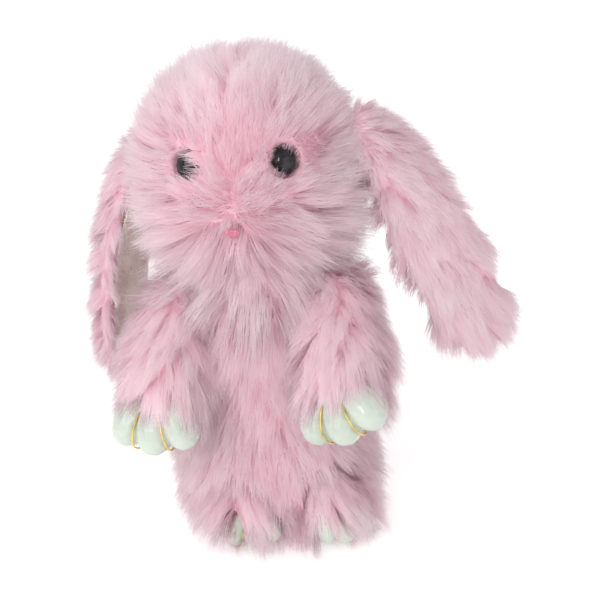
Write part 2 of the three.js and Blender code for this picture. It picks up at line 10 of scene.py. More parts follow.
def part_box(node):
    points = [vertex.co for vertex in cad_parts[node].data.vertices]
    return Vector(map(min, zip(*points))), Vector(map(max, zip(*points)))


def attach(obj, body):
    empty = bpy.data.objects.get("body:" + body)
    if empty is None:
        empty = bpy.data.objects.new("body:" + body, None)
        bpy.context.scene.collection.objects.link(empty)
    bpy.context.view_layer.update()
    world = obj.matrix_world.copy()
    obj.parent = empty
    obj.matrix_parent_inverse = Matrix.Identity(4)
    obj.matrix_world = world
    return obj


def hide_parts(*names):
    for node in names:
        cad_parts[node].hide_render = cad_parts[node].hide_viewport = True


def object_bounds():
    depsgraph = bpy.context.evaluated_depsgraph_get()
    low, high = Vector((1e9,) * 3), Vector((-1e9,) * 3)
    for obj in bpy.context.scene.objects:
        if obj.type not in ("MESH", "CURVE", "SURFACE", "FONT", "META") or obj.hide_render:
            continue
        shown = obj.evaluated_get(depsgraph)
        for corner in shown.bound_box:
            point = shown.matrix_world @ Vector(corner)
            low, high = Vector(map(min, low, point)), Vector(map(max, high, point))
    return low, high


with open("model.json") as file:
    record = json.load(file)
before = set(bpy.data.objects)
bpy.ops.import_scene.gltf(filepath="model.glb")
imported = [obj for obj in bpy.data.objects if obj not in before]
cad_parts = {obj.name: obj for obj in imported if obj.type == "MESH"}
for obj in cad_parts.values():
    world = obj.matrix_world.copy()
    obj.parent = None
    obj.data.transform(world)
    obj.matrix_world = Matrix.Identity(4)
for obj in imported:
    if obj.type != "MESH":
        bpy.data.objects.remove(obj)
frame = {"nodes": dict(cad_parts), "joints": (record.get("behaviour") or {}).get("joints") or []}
CAD_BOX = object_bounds()

MM = 0.001
DOWN = np.array((0.0, 0.0, -1.0))

# The view: around from the front, above the floor, and the tilt of the picture.
VIEW_AZIMUTH = radians(7)
VIEW_ELEVATION = radians(26)
VIEW_TILT = radians(5.5)
VIEW_ANGLE = radians(25)
VIEW_DISTANCE = 450 * MM
VIEW_TARGET_OFFSET = Vector((1.6, 2.6, -0.8)) * MM

# The pile. Each strand is a flat tapering ribbon in this many steps.
STEPS = 4
STRANDS_PER_PIECE = 24000
STRAND_WIDTH = 0.17 * MM
TIP_WIDTH = 0.2
LOCK_SPACING = 6.5 * MM
TUFT_SPACING = 2.2 * MM
LOCK_STRAY = 0.26
TUFT_STRAY = 0.24
# How much a tuft follows its lock, and how far tufts and strands close up towards the tip.
LOCK_PULL = 0.6
LOCK_GATHER = 0.2
TUFT_GATHER = 0.25
# How far a strand's tip wanders from its tuft, and how much each strand waves.
STRAND_FLY = 1.4 * MM
STRAND_WAVE = 0.14 * MM
# The usual shade of a strand, where 1 is palest, and how it varies by lock, tuft and strand.
MIDDLE_SHADE = 0.75
LOCK_SHADE = 0.07
TUFT_SHADE = 0.08
STRAND_SHADE = 0.06
# How far a ribbon's face may turn from the skin's normal.
FACING_NOISE = 0.3
# The gap that the pile keeps from castings.
CASTING_GAP = 0.35 * MM
FLOOR_CLEARANCE = 0.3 * MM
# How far a strand's shading follows the skin below it, from 0 to 1.
SOFTNESS = 0.75
# The share of the strands that cast shadows.
SHADOW_SHARE = 0.1

# Centre lines of the ears, from the hinge: out to the side, and down.
EAR_LINES = {
    "left": ((0, 0), (12.4, -9), (29.5, -44), (46, -82)),
    "right": ((0, 0), (-9.4, -8), (-16.8, -31), (-21.5, -54), (-25.5, -84)),
}


# ---------------------------------------------------------------- small helpers


def unit(vectors):
    """Vectors scaled to length 1."""
    length = np.linalg.norm(vectors, axis=-1, keepdims=True)
    return vectors / np.maximum(length, 1e-12)


def read(items, field, width=3):
    """One field of a mesh's vertices or triangles as an array."""
    values = np.zeros(len(items) * width, np.float32)
    items.foreach_get(field, values)
    return values.reshape(-1, width).astype(float)


def box_centre(node):
    low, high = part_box(node)
    return np.array((low + high) / 2)


def anchor(joint):
    """The point that a joint turns about."""
    found = [j for j in frame["joints"] if j["name"] == joint]
    return np.array(found[0]["pos_m"], float)


def evaluated_mesh(obj):
    """The object's mesh with its modifiers applied."""
    graph = bpy.context.evaluated_depsgraph_get()
    return bpy.data.meshes.new_from_object(obj.evaluated_get(graph))


def link(obj):
    bpy.context.scene.collection.objects.link(obj)
    return obj


def smooth_copy(node, name, voxel, rounds, inset=0.0):
    """A fine, rounded mesh of a CAD node's shape. inset draws it in along its normals."""
    obj = link(bpy.data.objects.new(name, frame["nodes"][node].data.copy()))
    remesh = obj.modifiers.new("remesh", "REMESH")
    remesh.mode = "VOXEL"
    remesh.voxel_size = voxel
    smooth = obj.modifiers.new("smooth", "SMOOTH")
    smooth.factor = 0.5
    smooth.iterations = rounds
    mesh = evaluated_mesh(obj)
    obj.modifiers.clear()
    obj.data = mesh
    mesh.materials.clear()
    if inset:
        moved = read(mesh.vertices, "co") - read(mesh.vertices, "normal") * inset
        mesh.vertices.foreach_set("co", moved.ravel().astype(np.float32))
    mesh.shade_smooth()
    mesh.update()
    return obj


def place(obj, body, slot, material, *nodes):
    """Gives a finished piece its material and its body, and hides the CAD nodes that it stands for."""
    obj.data.materials.append(material)
    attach(obj, body)
    if nodes:
        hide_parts(*nodes)
    return obj


# ---------------------------------------------------------------- materials


def new_material(name, colour, roughness, **sockets):
    """A Principled material. sockets are set on the shader itself."""
    material = bpy.data.materials.new(name)
    material.use_nodes = True
    shader = material.node_tree.nodes["Principled BSDF"]
    shader.inputs["Base Color"].default_value = (*colour, 1)
    shader.inputs["Roughness"].default_value = roughness
    for socket, value in sockets.items():
        shader.inputs[socket.replace("_", " ")].default_value = value
    return material


def add_noise(material, scale, detail=3.0, stretch=(1, 1, 1)):
    """A noise pattern in the object's own space."""
    tree = material.node_tree
    place_node = tree.nodes.new("ShaderNodeTexCoord")
    mapping = tree.nodes.new("ShaderNodeMapping")
    mapping.inputs["Scale"].default_value = stretch
    pattern = tree.nodes.new("ShaderNodeTexNoise")
    pattern.inputs["Scale"].default_value = scale
    pattern.inputs["Detail"].default_value = detail
    tree.links.new(place_node.outputs["Object"], mapping.inputs["Vector"])
    tree.links.new(mapping.outputs["Vector"], pattern.inputs["Vector"])
    return pattern.outputs["Fac"]


def colour_from(material, factor, stops):
    """Drives the base colour through a ramp of (place, colour) stops."""
    tree = material.node_tree
    ramp = tree.nodes.new("ShaderNodeValToRGB")
    elements = ramp.color_ramp.elements
    while len(elements) < len(stops):
        elements.new(0.5)
    for element, (at, colour) in zip(elements, stops):
        element.position = at
        element.color = (*colour, 1)
    tree.links.new(factor, ramp.inputs["Fac"])
    shader = tree.nodes["Principled BSDF"]
    tree.links.new(ramp.outputs["Color"], shader.inputs["Base Color"])
    return ramp


def roughness_from(material, factor, low, high):
    """Drives the roughness between two values."""
    tree = material.node_tree
    reach = tree.nodes.new("ShaderNodeMapRange")
    reach.inputs["To Min"].default_value = low
    reach.inputs["To Max"].default_value = high
    tree.links.new(factor, reach.inputs["Value"])
    shader = tree.nodes["Principled BSDF"]
    tree.links.new(reach.outputs["Result"], shader.inputs["Roughness"])


def bump_from(material, height, strength, distance):
    """Adds relief to the surface."""
    tree = material.node_tree
    bump = tree.nodes.new("ShaderNodeBump")
    bump.inputs["Strength"].default_value = strength
    bump.inputs["Distance"].default_value = distance
    tree.links.new(height, bump.inputs["Height"])
    shader = tree.nodes["Principled BSDF"]
    tree.links.new(bump.outputs["Normal"], shader.inputs["Normal"])


def pile_material():
    """Silky fibres: deep pink at the root and pale at the tip, partly the fibres' own colour and
    partly painted shade deep in the pile, each strand in its own shade.
    The strand's map holds the way along it in U and its shade in V."""
    material = new_material(
        "pink_pile",
        (0.86, 0.6, 0.67),
        0.6,
        Sheen_Weight=0.12,
        Sheen_Roughness=0.5,
        Sheen_Tint=(1.0, 0.94, 0.95, 1),
        Specular_IOR_Level=0.2,
    )
    tree = material.node_tree
    strand_map = tree.nodes.new("ShaderNodeUVMap")
    strand_map.uv_map = "OFBake"
    parts = tree.nodes.new("ShaderNodeSeparateXYZ")
    tree.links.new(strand_map.outputs["UV"], parts.inputs["Vector"])
    # Partly painted shade: the root end is deeper pink, as the depths of the pile are shaded.
    ramp = colour_from(
        material,
        parts.outputs["X"],
        (
            (0.0, (0.83, 0.60, 0.67)),
            (0.35, (0.86, 0.69, 0.74)),
            (0.75, (0.87, 0.76, 0.80)),
            (1.0, (0.88, 0.82, 0.84)),
        ),
    )
    shade = tree.nodes.new("ShaderNodeValToRGB")
    shade.color_ramp.elements[0].position = 0.0
    shade.color_ramp.elements[0].color = (0.94, 0.76, 0.81, 1)
    shade.color_ramp.elements[1].position = 1.0
    shade.color_ramp.elements[1].color = (1.0, 1.0, 1.0, 1)
    tree.links.new(parts.outputs["Y"], shade.inputs["Fac"])
    mix = tree.nodes.new("ShaderNodeMix")
    mix.data_type = "RGBA"
    mix.blend_type = "MULTIPLY"
    mix.inputs[0].default_value = 1.0
    tree.links.new(ramp.outputs["Color"], mix.inputs[6])
    tree.links.new(shade.outputs["Color"], mix.inputs[7])
    shader = tree.nodes["Principled BSDF"]
    tree.links.new(mix.outputs[2], shader.inputs["Base Color"])
    glow = tree.nodes.new("ShaderNodeBsdfTranslucent")
    tree.links.new(mix.outputs[2], glow.inputs["Color"])
    both = tree.nodes.new("ShaderNodeMixShader")
    both.inputs["Fac"].default_value = 0.42
    tree.links.new(shader.outputs["BSDF"], both.inputs[1])
    tree.links.new(glow.outputs["BSDF"], both.inputs[2])
    tree.links.new(both.outputs["Shader"], tree.nodes["Material Output"].inputs["Surface"])
    return material


def backing_material():
    """The knitted cloth that the pile grows from."""
    material = new_material("fur_backing", (0.80, 0.48, 0.57), 0.9, Sheen_Weight=0.2)
    knit = add_noise(material, 900, 4)
    colour_from(material, knit, ((0.3, (0.74, 0.42, 0.51)), (0.7, (0.84, 0.54, 0.62))))
    bump_from(material, knit, 0.5, 0.3 * MM)
    return material


def casting_material():
    """Glossy white moulded plastic with a faint mint tint."""
    material = new_material(
        "white_casting",
        (0.5, 0.57, 0.49),
        0.22,
        Specular_IOR_Level=0.4,
        Coat_Weight=0.15,
        Coat_Roughness=0.1,
        Subsurface_Weight=0.12,
        Subsurface_Radius=(1.0, 1.1, 1.0),
        Subsurface_Scale=1.5 * MM,
    )
    tint = add_noise(material, 60, 2)
    colour_from(material, tint, ((0.3, (0.47, 0.54, 0.46)), (0.62, (0.55, 0.61, 0.53))))
    roughness_from(material, add_noise(material, 420, 4), 0.14, 0.3)
    bump_from(material, add_noise(material, 260, 2), 0.12, 0.15 * MM)
    return material


def gold_line_material():
    """Gold paint in a groove, in bright and olive patches spread at random: painted reflections of the
    metal.
    """
    material = new_material("gold_paint", (0.9, 0.62, 0.16), 0.32, Metallic=0.85)
    # Painted reflection: bright gold and dark olive patches stand in for the glints on the metal.
    wear_and_painted_glint = add_noise(material, 300, 3)
    colour_from(material, wear_and_painted_glint, ((0.32, (0.40, 0.30, 0.06)), (0.6, (0.95, 0.66, 0.18))))
    bump_from(material, add_noise(material, 2500, 3), 0.3, 0.05 * MM)
    return material


def gold_metal_material():
    """Plated chain and clasp metal."""
    material = new_material("gold_plate", (0.93, 0.72, 0.36), 0.22, Metallic=1.0)
    wear_and_painted_glint = add_noise(material, 350, 4)
    colour_from(material, wear_and_painted_glint, ((0.3, (0.86, 0.63, 0.28)), (0.7, (0.97, 0.80, 0.46))))
    roughness_from(material, add_noise(material, 900, 5), 0.14, 0.34)
    bump_from(material, add_noise(material, 3000, 3), 0.08, 0.03 * MM)
    return material


def eye_material():
    """Polished black plastic."""
    material = new_material(
        "black_gloss", (0.012, 0.01, 0.012), 0.04, Specular_IOR_Level=0.4
    )
    haze = add_noise(material, 500, 3)
    colour_from(material, haze, ((0.4, (0.008, 0.007, 0.009)), (0.8, (0.03, 0.025, 0.03))))
    roughness_from(material, haze, 0.03, 0.07)
    return material


def nose_material():
    """Deep pink satin thread."""
    material = new_material("nose_satin", (0.62, 0.14, 0.24), 0.5, Sheen_Weight=0.4)
    fibre = add_noise(material, 900, 3, (1, 1, 6))
    colour_from(material, fibre, ((0.3, (0.42, 0.07, 0.14)), (0.7, (0.72, 0.22, 0.33))))
    bump_from(material, fibre, 0.6, 0.15 * MM)
    return material


def lining_material():
    """Cream short-nap cloth."""
    material = new_material("cream_lining", (0.8, 0.72, 0.6), 0.85, Sheen_Weight=0.4)
    nap = add_noise(material, 1100, 5)
    colour_from(material, nap, ((0.3, (0.80, 0.73, 0.61)), (0.7, (0.91, 0.87, 0.78))))
    bump_from(material, nap, 0.7, 0.25 * MM)
    return material


def webbing_material():
    """Woven pink tape."""
    material = new_material("pink_tape", (0.85, 0.4, 0.52), 0.8, Sheen_Weight=0.25)
    tree = material.node_tree
    where = tree.nodes.new("ShaderNodeTexCoord")
    rows = tree.nodes.new("ShaderNodeTexWave")
    rows.bands_direction = "Z"
    rows.inputs["Scale"].default_value = 420
    rows.inputs["Distortion"].default_value = 1.5
    tree.links.new(where.outputs["Object"], rows.inputs["Vector"])
    weave = rows.outputs["Fac"]
    colour_from(material, weave, ((0.1, (0.62, 0.24, 0.35)), (0.8, (0.90, 0.50, 0.61))))
    bump_from(material, weave, 0.6, 0.2 * MM)
    return material


def fibre_material():
    """Loose white polyester stuffing."""
    material = new_material("stuffing", (0.9, 0.9, 0.88), 0.95, Sheen_Weight=0.5)
    wisps = add_noise(material, 700, 6)
    colour_from(material, wisps, ((0.3, (0.78, 0.78, 0.76)), (0.7, (0.95, 0.95, 0.94))))
    bump_from(material, wisps, 1.0, 0.6 * MM)
    return material


def plain_plastic_material(name, low, high, roughness):
    """Moulded plastic with a little variation."""
    material = new_material(name, high, roughness)
    grain = add_noise(material, 600, 3)
    colour_from(material, grain, ((0.3, low), (0.7, high)))
    bump_from(material, grain, 0.1, 0.05 * MM)
    return material


def spring_material():
    """Drawn steel wire."""
    material = new_material("steel_wire", (0.6, 0.6, 0.62), 0.3, Metallic=1.0)
    roughness_from(material, add_noise(material, 1500, 3), 0.2, 0.4)
    return material


# ---------------------------------------------------------------- the pile


class Skin:
    """A fur-backing mesh, ready to grow strands: its outward triangles and their areas."""

    def __init__(self, obj, keep=None):
        mesh = obj.data
        mesh.calc_loop_triangles()
        self.points = read(mesh.vertices, "co")
        self.normals = read(mesh.vertices, "normal")
        corners = read(mesh.loop_triangles, "vertices").astype(int)
        centres = self.points[corners].mean(1)
        facing = unit(self.normals[corners].mean(1))
        tree = BVHTree.FromPolygons(self.points.tolist(), corners.tolist())
        clear = [
            tree.ray_cast(Vector(c + n * MM), Vector(n), 80 * MM)[0] is None
            for c, n in zip(centres, facing)
        ]
        clear = np.array(clear)
        if keep is not None:
            clear &= keep(centres, facing)
        self.corners = corners[clear]
        a, b, c = (self.points[self.corners[:, i]] for i in range(3))
        self.areas = np.linalg.norm(np.cross(b - a, c - a), axis=1) / 2

    def scatter(self, count, rng):
        """count places spread evenly over the skin, with their normals."""
        share = self.areas / self.areas.sum()
        face = self.corners[rng.choice(len(share), count, p=share)]
        u, v = np.sqrt(rng.random(count)), rng.random(count)
        weights = np.stack((1 - u, u * (1 - v), u * v), 1)[:, :, None]
        root = (self.points[face] * weights).sum(1)
        normal = unit((self.normals[face] * weights).sum(1))
        return root, normal


def nearest(points, centres):
    """The index of the nearest centre to each point."""
    tree = kdtree.KDTree(len(centres))
    for i, c in enumerate(centres):
        tree.insert(c, i)
    tree.balance()
    return np.array([tree.find(p)[1] for p in points])


def combed(comb, root, normal, rng, stray):
    """The direction that the pile lies in at each root, along the skin, with some strays."""
    along = comb(root, normal)
    along = along + rng.normal(size=root.shape) * stray
    along -= normal * (along * normal).sum(1, keepdims=True)
    return unit(along)


def bent_lines(root, normal, along, length, rise, lie, sag):
    """Lines that leave the skin at the angle rise from its normal, and end at the angle lie."""
    line = [root]
    for step in range(STEPS):
        t = (step + 0.5) / STEPS
        angle = rise + (lie - rise) * t
        heading = normal * np.cos(angle)[:, None] + along * np.sin(angle)[:, None]
        heading = unit(heading + DOWN * (sag * t))
        line.append(line[-1] + heading * (length / STEPS)[:, None])
    return np.stack(line, 1)


def follow(root, leaders, leader, gather):
    """Lines that run with their leader and close up on it towards the tip."""
    t = np.linspace(0, 1, STEPS + 1)
    offset = root - leaders[leader][:, 0]
    closing = 1 - gather * t**1.3
    return leaders[leader] + offset[:, None, :] * closing[None, :, None]


def shortened(lines, share):
    """Each line cut to a share of its own length."""
    place = np.linspace(0, 1, STEPS + 1)[None, :] * share[:, None] * STEPS
    low = np.minimum(place.astype(int), STEPS - 1)
    rest = (place - low)[:, :, None]
    row = np.arange(len(lines))[:, None]
    return lines[row, low] * (1 - rest) + lines[row, low + 1] * rest


def cut_at_floor(lines, floor):
    """Strands that would reach through the floor end on it."""
    height = lines[:, :, 2] - floor[:, None]
    under = height < 0
    crossing = under.any(1)
    step = np.maximum(under.argmax(1), 1)
    row = np.arange(len(lines))
    above, below = height[row, step - 1], height[row, step]
    part = np.clip(above / np.maximum(above - below, 1e-9), 0, 1)
    share = np.where(crossing, (step - 1 + part) / STEPS, 1.0)
    lines = shortened(lines, np.maximum(share, 0.02))
    lines[:, :, 2] = np.maximum(lines[:, :, 2], FLOOR_CLEARANCE)
    return lines


def grow(skin, count, length, comb, rng, trim, tint, reach, rise, lie, sag):
    """Strands in tufts, and tufts in locks. reach makes the pile longer in places, and trim cuts it.
    Returns the strands' lines, normals and shade."""
    area = skin.areas.sum()

    def leaders(spacing, stray):
        root, normal = skin.scatter(max(8, int(area / spacing**2)), rng)
        along = combed(comb, root, normal, rng, stray)
        size = len(root)
        own = length * rng.uniform(0.88, 1.12, size) * reach(root)
        up = rise + rng.normal(size=size) * 0.12
        over = lie + rng.normal(size=size) * 0.1
        return root, bent_lines(root, normal, along, own, up, over, sag)

    lock_root, locks = leaders(LOCK_SPACING, LOCK_STRAY)
    lock_shade = rng.normal(size=len(locks)) * LOCK_SHADE
    tuft_root, tufts = leaders(TUFT_SPACING, TUFT_STRAY)
    lock = nearest(tuft_root, lock_root)
    drawn = follow(tuft_root, locks, lock, LOCK_GATHER)
    tufts = tufts * (1 - LOCK_PULL) + drawn * LOCK_PULL
    tuft_shade = lock_shade[lock] + rng.normal(size=len(tufts)) * TUFT_SHADE

    root, normal = skin.scatter(count, rng)
    tuft = nearest(root, tuft_root)
    lines = follow(root, tufts, tuft, TUFT_GATHER)
    t = np.linspace(0, 1, STEPS + 1)[None, :, None]
    fly = rng.normal(size=(count, 1, 3)) * STRAND_FLY
    wave = rng.normal(size=(count, STEPS + 1, 3)) * STRAND_WAVE
    lines = lines + fly * t**1.4 + wave * t
    lines = shortened(lines, rng.uniform(0.62, 1.0, count) * np.minimum(trim(root), 1))
    # tint holds real tone and painted light: the painted pale top of the head and the painted shade
    # down the chest.
    shade = tuft_shade[tuft] + rng.normal(size=count) * STRAND_SHADE + MIDDLE_SHADE - tint(root)
    return lines, normal, np.clip(shade, 0.02, 0.98)


def keep_off(lines, obstacles, gap):
    """Moves points of strands that would run through a hard piece out to its surface."""
    flat = lines[:, 1:].reshape(-1, 3)
    for obstacle in obstacles:
        mesh = obstacle.data
        mesh.calc_loop_triangles()
        points = read(mesh.vertices, "co")
        corners = read(mesh.loop_triangles, "vertices").astype(int)
        tree = BVHTree.FromPolygons(points.tolist(), corners.tolist())
        low, high = points.min(0) - gap, points.max(0) + gap
        close = np.nonzero(((flat > low) & (flat < high)).all(1))[0]
        middle = (low + high) / 2
        for i in close:
            spot, normal, _, _ = tree.find_nearest(Vector(flat[i]))
            outwards = Vector(np.array(spot) - middle)
            if normal.dot(outwards) < 0:
                continue
            if (Vector(flat[i]) - spot).dot(normal) < gap:
                flat[i] = np.array(spot + normal * gap)
    lines[:, 1:] = flat.reshape(lines[:, 1:].shape)
    return lines


def ribbon_mesh(name, lines, normal, facing, shade):
    """One mesh of flat tapering ribbons along the lines, shaded softly like the skin below."""
    count = len(lines)
    t = np.linspace(0, 1, STEPS + 1)
    half = STRAND_WIDTH / 2 * (1 - (1 - TIP_WIDTH) * t**1.5)
    heading = np.gradient(lines, axis=1)
    side = unit(np.cross(heading, facing[:, None, :]))
    edge = side * half[None, :, None]
    points = np.stack((lines - edge, lines + edge), 2).reshape(-1, 3)
    first = np.arange(STEPS) * 2
    quads = np.stack((first, first + 1, first + 3, first + 2), 1)
    starts = np.arange(count)[:, None, None] * (2 * (STEPS + 1))
    faces = (starts + quads[None]).reshape(-1, 4)
    mesh = bpy.data.meshes.new(name)
    mesh.vertices.add(len(points))
    mesh.vertices.foreach_set("co", points.ravel().astype(np.float32))
    mesh.loops.add(faces.size)
    mesh.loops.foreach_set("vertex_index", faces.ravel().astype(np.int32))
    mesh.polygons.add(len(faces))
    mesh.polygons.foreach_set("loop_start", np.arange(0, faces.size, 4, dtype=np.int32))
    mesh.polygons.foreach_set("loop_total", np.full(len(faces), 4, np.int32))
    across = np.array((-0.004, 0.004))
    u = np.broadcast_to(t[None, :, None], (count, STEPS + 1, 2))
    v = np.broadcast_to(shade[:, None, None] + across, (count, STEPS + 1, 2))
    strand_map = np.stack((u, v), 3).reshape(-1, 2)[faces.ravel()]
    layer = mesh.uv_layers.new(name="OFBake")
    layer.data.foreach_set("uv", strand_map.ravel().astype(np.float32))
    mesh.shade_smooth()
    flat = unit(np.cross(side, heading))
    soft = unit(flat * (1 - SOFTNESS) + normal[:, None, :] * SOFTNESS)
    soft = np.repeat(soft[:, :, None], 2, axis=2).reshape(-1, 3).astype(np.float32)
    mesh.attributes.new("custom_normal", "FLOAT_VECTOR", "POINT")
    mesh.attributes["custom_normal"].data.foreach_set("vector", soft.ravel())
    mesh.update()
    return mesh


def everywhere(value):
    """A rule that gives the same value at every root."""
    return lambda root: np.full(len(root), value)


def coat(
    name, body, skin, middle, count, length, comb, seed,
    off=(), trim=everywhere(1), tint=everywhere(0), reach=everywhere(1),
    rise=0.35, lie=1.15, sag=0.15,
):
    """Covers a skin with pile, in pieces that run around it, clear of the hard pieces in off.
    Most strands let the light past them, as fine clear fibres do, and the rest cast the shadows."""
    rng = np.random.default_rng(seed)
    lines, normal, shade = grow(
        skin, count, length, comb, rng, trim, tint, reach, rise, lie, sag
    )
    facing = unit(normal + rng.normal(size=normal.shape) * FACING_NOISE)
    if off:
        lines = keep_off(lines, off, CASTING_GAP)
    lines = cut_at_floor(lines, FLOOR_CLEARANCE + rng.uniform(0, 1.2 * MM, count))
    around = np.arctan2(lines[:, 0, 0] - middle[0], middle[1] - lines[:, 0, 1])
    dense = rng.random(count) < SHADOW_SHARE
    for layer, casts in (("underpile", True), ("pile", False)):
        members = np.nonzero(dense == casts)[0]
        members = members[np.argsort(around[members])]
        groups = np.array_split(members, -(-len(members) // STRANDS_PER_PIECE))
        for number, chosen in enumerate(groups, 1):
            piece = f"{name}_{layer}_{number}"
            mesh = ribbon_mesh(
                piece, lines[chosen], normal[chosen], facing[chosen], shade[chosen]
            )
            strands = link(bpy.data.objects.new(piece, mesh))
            strands.visible_shadow = casts
            place(strands, body, "pink_fur", PILE)


# ---------------------------------------------------------------- camera and light


def make_camera():
    low, high = (Vector(corner) for corner in CAD_BOX)
    target = (low + high) / 2 + VIEW_TARGET_OFFSET
    back = Vector(
        (
            sin(VIEW_AZIMUTH) * cos(VIEW_ELEVATION),
            -cos(VIEW_AZIMUTH) * cos(VIEW_ELEVATION),
            sin(VIEW_ELEVATION),
        )
    )
    right = Vector((0, 0, 1)).cross(back).normalized()
    up = back.cross(right)
    tilted_right = right * cos(VIEW_TILT) - up * sin(VIEW_TILT)
    tilted_up = right * sin(VIEW_TILT) + up * cos(VIEW_TILT)
    data = bpy.data.cameras.new("camera")
    data.angle = VIEW_ANGLE
    data.clip_start = 0.01
    camera = link(bpy.data.objects.new("camera", data))
    turn = Matrix((tilted_right, tilted_up, back)).transposed()
    camera.matrix_world = Matrix.Translation(target + back * VIEW_DISTANCE) @ turn.to_4x4()
    bpy.context.scene.camera = camera


def make_light(name, at, aim, size, power, colour=(1, 1, 1)):
    data = bpy.data.lights.new(name, "AREA")
    data.size = size
    data.energy = power
    data.color = colour
    lamp = link(bpy.data.objects.new(name, data))
    lamp.location = at
    lamp.rotation_euler = (Vector(at) - Vector(aim)).to_track_quat("Z", "Y").to_euler()


def make_studio():
    middle = (0, 0, 0.08)
    make_light("key", (-0.35, -0.50, 0.45), middle, 0.5, 2.3)
    make_light("fill", (0.50, -0.50, 0.25), middle, 0.6, 0.8)
    make_light("back", (0.05, 0.50, 0.65), middle, 0.6, 1.4)
    make_light("spark", (-0.10, -0.60, 0.50), middle, 0.08, 0.5)
    world = bpy.data.worlds.new("studio")
    bpy.context.scene.world = world
    world.use_nodes = True
    sky = world.node_tree.nodes["Background"]
    sky.inputs["Color"].default_value = (1, 1, 1, 1)
    sky.inputs["Strength"].default_value = 0.66
    bpy.context.scene.view_settings.view_transform = "Standard"
    mesh = bpy.data.meshes.new("floor")
    reach = 3.0
    corners = [(-reach, -reach, 0), (reach, -reach, 0), (reach, reach, 0), (-reach, reach, 0)]
    mesh.from_pydata(corners, [], [(0, 1, 2, 3)])
    floor = link(bpy.data.objects.new("floor", mesh))
    glow = {"Emission_Color": (1, 1, 1, 1), "Emission_Strength": 0.3}
    paper = new_material("pale_floor", (0.93, 0.93, 0.93), 0.7, **glow)
    grain = add_noise(paper, 40, 2)
    colour_from(paper, grain, ((0.3, (0.925, 0.925, 0.925)), (0.7, (0.935, 0.935, 0.935))))
    floor.data.materials.append(paper)


# ---------------------------------------------------------------- combing


def away_from(point, spot):
    """Directions that lead away from a spot."""
    return unit(point - spot)


def near(point, spot, reach):
    """1 at a spot, falling smoothly to 0 beyond its reach."""
    gap = np.linalg.norm(point - spot, axis=1)
    return np.exp(-((gap / reach) ** 2))


HEAD = box_centre("head_filling")
EYES = [box_centre("eye_left"), box_centre("eye_right")]
NOSE = box_centre("nose")


def head_comb(root, normal):
    """Out from the nose: up the forehead and over the top, down the cheeks, and away from the eyes."""
    back = np.clip((root[:, 1] - HEAD[1]) / (20 * MM), 0, 1)[:, None]
    along = away_from(root, NOSE) + DOWN * (0.1 + 1.2 * back)
    for eye in EYES:
        rim = near(root, eye, 8 * MM)[:, None]
        along = along * (1 - 0.8 * rim) + away_from(root, eye) * rim
    return along


def head_trim(root):
    """Shorter pile around the eyes and at the nose."""
    share = 1 - 0.95 * near(root, NOSE + np.array((0, 0, 2.5)) * MM, 5.5 * MM)
    for eye in EYES:
        share -= 1.05 * near(root, eye, 8.6 * MM)
    return np.clip(share, 0.15, 1)


def head_reach(root):
    """Longer pile on the cheeks and under the chin."""
    return 1 + 0.8 * np.clip((HEAD[2] - 2 * MM - root[:, 2]) / (20 * MM), 0, 1)


def head_tint_and_painted_light(root):
    """Deeper pink on the forehead and on the muzzle, and paler on top, which is painted light from
    above.
    """
    forehead = HEAD + np.array((0, -26, 14)) * MM
    # Painted light: the top of the head is paler, as though lit from above.
    pale = np.clip((root[:, 2] - HEAD[2] - 12 * MM) / (14 * MM), 0, 1)
    deep = 0.5 * near(root, forehead, 13 * MM) + 0.25 * near(root, NOSE, 14 * MM)
    return deep - 0.3 * pale


def body_comb(root, normal):
    """Down, and out to the sides of the chest."""
    out = root * np.array((1, 1, 0))
    return DOWN + unit(out) * 0.45


def body_reach(root):
    """Longer pile low at the front, which hangs over the feet, and around the shoulders."""
    low = np.clip((32 * MM - root[:, 2]) / (20 * MM), 0, 1) * (root[:, 1] < 0)
    high = np.clip((root[:, 2] - 72 * MM) / (12 * MM), 0, 1)
    return 1 + 0.4 * low + 1.0 * high


def body_trim(root):
    """Flatter pile on the sides of the belly."""
    left = near(root, np.array((31, 0, 42)) * MM, 25 * MM)
    right = near(root, np.array((-30, 0, 26)) * MM, 22 * MM)
    return 1 - 0.6 * left - 0.2 * right


def body_painted_shade(root):
    """Painted shade: deeper pink down the middle of the chest and belly, where shade falls between the
    arms.
    """
    # Painted shade between the arms, on the front of the body only.
    centre = np.exp(-((root[:, 0] / (13 * MM)) ** 2)) * (root[:, 1] < 0)
    return 0.3 * centre


def line_comb(points):
    """Along a line of points, such as a limb or an ear."""
    points = np.array(points, float)
    starts, ends = points[:-1], points[1:]

    def comb(root, normal):
        spans = ends - starts
        reach = ((root[:, None] - starts) * spans).sum(2) / (spans**2).sum(1)
        reach = np.clip(reach, 0, 1)
        feet = starts + spans * reach[:, :, None]
        gaps = np.linalg.norm(root[:, None] - feet, axis=2)
        weight = np.exp(-gaps / (4 * MM))
        heading = (unit(spans)[None] * weight[:, :, None]).sum(1)
        return unit(heading)

    return comb


# ---------------------------------------------------------------- soft parts


def make_head():
    skin = smooth_copy("head_fur", "head_skin", 1.2 * MM, 6, 0.6 * MM)
    place(skin, "head", "pink_fur", BACKING, "head_fur")
    look = {"trim": head_trim, "tint": head_tint_and_painted_light, "reach": head_reach, "rise": 0.4, "lie": 1.25}
    coat("head", "head", Skin(skin), HEAD, 74000, 12 * MM, head_comb, 11, **look)


def make_body(feet):
    skin = smooth_copy("body_fur", "body_skin", 1.2 * MM, 6, 0.6 * MM)
    place(skin, "torso", "pink_fur", BACKING, "body_fur")
    middle = box_centre("body_fur")
    look = {"rise": 0.35, "lie": 1.2, "tint": body_painted_shade, "reach": body_reach, "trim": body_trim}
    coat("body", "torso", Skin(skin), middle, 68000, 13 * MM, body_comb, 12, off=feet, **look)


